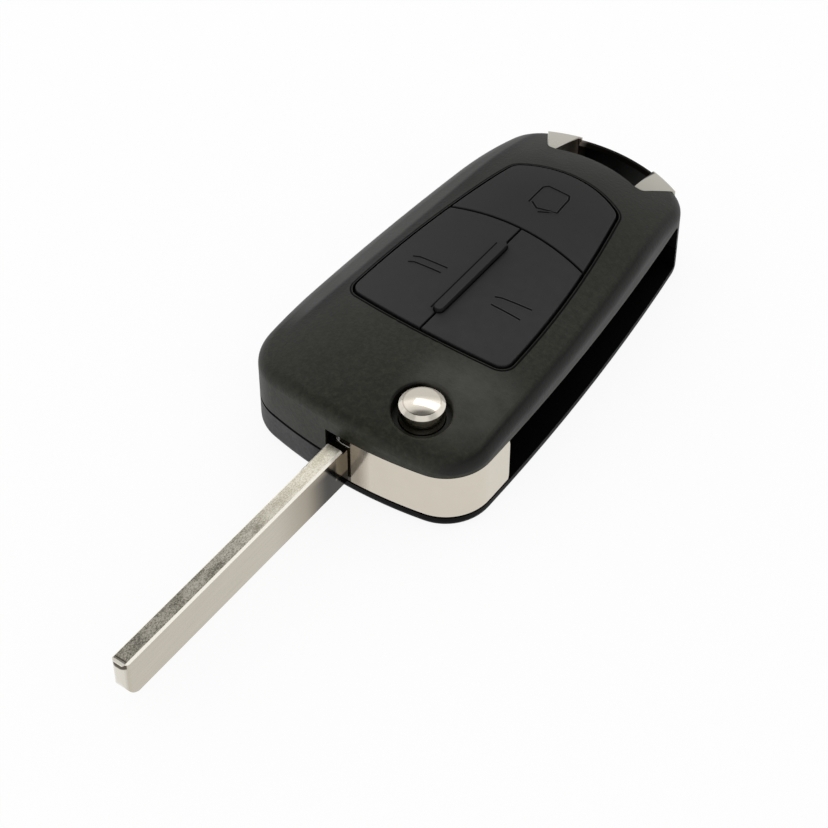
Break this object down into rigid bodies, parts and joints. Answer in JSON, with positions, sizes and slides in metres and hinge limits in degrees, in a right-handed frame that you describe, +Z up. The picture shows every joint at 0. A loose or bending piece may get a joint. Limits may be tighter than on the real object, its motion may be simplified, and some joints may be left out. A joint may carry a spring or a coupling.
{
  "type": "flip remote key",
  "caption": "Car remote fob with a blade that folds into its side, a round release button, membrane-like keys and a metal key-ring end.",
  "frame": {"origin": "foot of the blade's pivot axis, on the plane the closed casing rests on", "axes": "+Z up through the keys, +Y along the casing to the ring end, -Y along the opened blade, +X the side with the blade slot"},
  "size_m": [0.0378, 0.1156, 0.0171],
  "materials": {
    "casing": "fine grained matt",
    "casing_back": "fine grained matt",
    "key_rubber": "matt",
    "ring_nickel": "satin nickel",
    "head_nickel": "satin nickel",
    "blade_steel": "milled nickel silver",
    "pin_steel": "ground",
    "button_chrome": "polished nickel",
    "spring_steel": "bright wire",
    "tray_plastic": "plain",
    "board": "green resist",
    "cell_steel": "bright",
    "chip_plastic": "moulded",
    "switch_plastic": "moulded",
    "plunger_plastic": "moulded"
  },
  "bodies": {
    "casing": {"upper_shell": "casing", "lower_shell": "casing_back", "ring_end": "ring_nickel", "key_gasket": "key_rubber", "electronics_tray": "tray_plastic", "circuit_board": "board", "coin_cell": "cell_steel", "battery_clip_plus": "spring_steel", "battery_clip_minus": "spring_steel", "transponder": "chip_plastic", "microcontroller": "chip_plastic", "crystal": "cell_steel", "antenna_coil": "chip_plastic", "left_switch": "switch_plastic", "right_switch": "switch_plastic", "boot_switch": "switch_plastic"},
    "blade_head": {"swivel_head": "head_nickel", "key_blade": "blade_steel", "blade_pin": "pin_steel", "flip_spring": "spring_steel"},
    "button": {"release_button": "button_chrome"},
    "left_press": {"left_key": "key_rubber", "left_plunger": "plunger_plastic"},
    "right_press": {"right_key": "key_rubber", "right_plunger": "plunger_plastic"},
    "boot_press": {"boot_key": "key_rubber", "boot_plunger": "plunger_plastic"}
  },
  "joints": [
    {"name": "blade_fold", "type": "hinge", "parent": "casing", "child": "blade_head", "pos_m": [0, 0, 0], "axis": [0, 0, 1], "range_deg": [0, 184], "stiffness_Nm_per_rad": 0.004, "springref_deg": -114.59},
    {"name": "release_press", "type": "slide", "parent": "blade_head", "child": "button", "axis": [0, 0, -1], "range_m": [0, 0.002], "stiffness_N_per_m": 800, "springref_m": -0.001, "deforming": ["flip_spring"]},
    {"name": "left_key_press", "type": "slide", "parent": "casing", "child": "left_press", "axis": [0, 0, -1], "range_m": [0, 0.0004], "stiffness_N_per_m": 2500, "springref_m": -0.0002},
    {"name": "right_key_press", "type": "slide", "parent": "casing", "child": "right_press", "axis": [0, 0, -1], "range_m": [0, 0.0004], "stiffness_N_per_m": 2500, "springref_m": -0.0002},
    {"name": "boot_key_press", "type": "slide", "parent": "casing", "child": "boot_press", "axis": [0, 0, -1], "range_m": [0, 0.0004], "stiffness_N_per_m": 2500, "springref_m": -0.0002}
  ]
}
